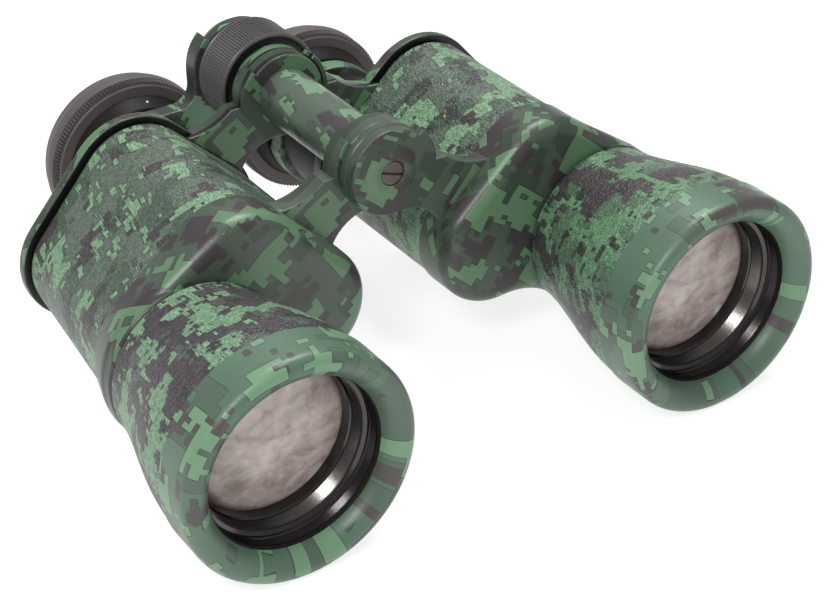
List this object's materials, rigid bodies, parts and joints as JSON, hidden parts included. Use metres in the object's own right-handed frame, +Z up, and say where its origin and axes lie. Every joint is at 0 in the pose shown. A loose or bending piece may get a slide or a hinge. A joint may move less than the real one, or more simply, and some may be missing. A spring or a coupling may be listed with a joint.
{
  "type": "binoculars",
  "caption": "Porro-prism binoculars with offset prism housings, a centre focus wheel, a folding hinge and a dioptre ring, in camouflage paint.",
  "frame": {"origin": "under the middle of the instrument, on the plane that the objective hoods stand on", "axes": "+X across the barrels towards the user's left half, +Y from the objectives to the eyepieces, +Z up"},
  "size_m": [0.2014, 0.1784, 0.0837],
  "materials": {
    "camouflage_metal": "camouflage paint over a fine shagreen texture",
    "smooth_camouflage": "camouflage paint on smooth castings, satin",
    "black_fittings": "black anodised, satin",
    "eyecup_plastic": "dark grey hard plastic, matt",
    "coated_glass": "coated optical glass",
    "prism_glass": "polished prism glass",
    "turned_steel": "turned steel, oiled",
    "brass": "turned brass",
    "screw_metal": "brown-grey oxide",
    "spring_steel": "sprung strip",
    "bare_alloy": "bare casting"
  },
  "bodies": {
    "left_half": {"left_front_cover": "smooth_camouflage", "left_rear_cover": "smooth_camouflage", "left_prism_housing": "camouflage_metal", "left_objective_tube": "camouflage_metal", "left_objective_hood": "smooth_camouflage", "left_objective_cell": "black_fittings", "left_retaining_ring": "black_fittings", "left_crown_lens": "coated_glass", "left_flint_lens": "coated_glass", "left_prism_shelf": "bare_alloy", "left_front_prism": "prism_glass", "left_rear_prism": "prism_glass", "left_prism_clips": "spring_steel", "left_eyepiece_sleeve": "black_fittings", "hinge_axle": "turned_steel", "hinge_cap_screw": "screw_metal"},
    "right_half": {"right_front_cover": "smooth_camouflage", "right_rear_cover": "smooth_camouflage", "right_prism_housing": "camouflage_metal", "right_objective_tube": "camouflage_metal", "right_objective_hood": "smooth_camouflage", "right_objective_cell": "black_fittings", "right_retaining_ring": "black_fittings", "right_crown_lens": "coated_glass", "right_flint_lens": "coated_glass", "right_prism_shelf": "bare_alloy", "right_front_prism": "prism_glass", "right_rear_prism": "prism_glass", "right_prism_clips": "spring_steel", "right_eyepiece_sleeve": "black_fittings", "hinge_tube": "smooth_camouflage"},
    "focus_wheel": {"focus_wheel": "black_fittings", "focus_nut": "brass"},
    "left_eyepiece": {"bridge_hub": "black_fittings", "bridge_cap": "black_fittings", "focus_screw": "turned_steel", "left_bridge_arm": "smooth_camouflage", "left_eyepiece_tube": "black_fittings", "left_ocular_barrel": "black_fittings", "left_dioptre_collar": "eyecup_plastic", "left_field_lens": "coated_glass", "left_lens_spacer": "black_fittings", "left_eye_lens": "coated_glass", "left_eyecup": "eyecup_plastic"},
    "right_carriage": {"right_bridge_arm": "smooth_camouflage", "right_eyepiece_tube": "black_fittings"},
    "right_ocular": {"right_ocular_barrel": "black_fittings", "right_field_lens": "coated_glass", "right_lens_spacer": "black_fittings", "right_eye_lens": "coated_glass"},
    "dioptre_ring": {"right_dioptre_collar": "eyecup_plastic", "right_eyecup": "eyecup_plastic"}
  },
  "joints": [
    {"name": "ipd_hinge", "type": "hinge", "parent": "left_half", "child": "right_half", "pos_m": [0, 0, 0.0675], "axis": [0, 1, 0], "range_deg": [-13.4, 16.9]},
    {"name": "focus_turn", "type": "hinge", "parent": "left_half", "child": "focus_wheel", "pos_m": [0, 0, 0.0675], "axis": [0, 1, 0], "range_deg": [-36.01, 180.01]},
    {"name": "left_focus_slide", "type": "slide", "parent": "left_half", "child": "left_eyepiece", "axis": [0, 1, 0], "range_m": [-0.0012, 0.006]},
    {"name": "right_focus_slide", "type": "slide", "parent": "right_half", "child": "right_carriage", "axis": [0, 1, 0], "range_m": [-0.0012, 0.006]},
    {"name": "dioptre_slide", "type": "slide", "parent": "right_carriage", "child": "right_ocular", "axis": [0, 1, 0], "range_m": [-0.001, 0.001]},
    {"name": "dioptre_turn", "type": "hinge", "parent": "right_ocular", "child": "dioptre_ring", "pos_m": [-0.0318, 0, 0.0367], "axis": [0, 1, 0], "range_deg": [-45.01, 45.01]}
  ],
  "couplings": [
    {"joint": "focus_turn", "follows": "left_focus_slide", "rad_per_m": 523.6},
    {"joint": "right_focus_slide", "follows": "left_focus_slide", "ratio": 1},
    {"joint": "dioptre_turn", "follows": "dioptre_slide", "rad_per_m": 785.4}
  ]
}
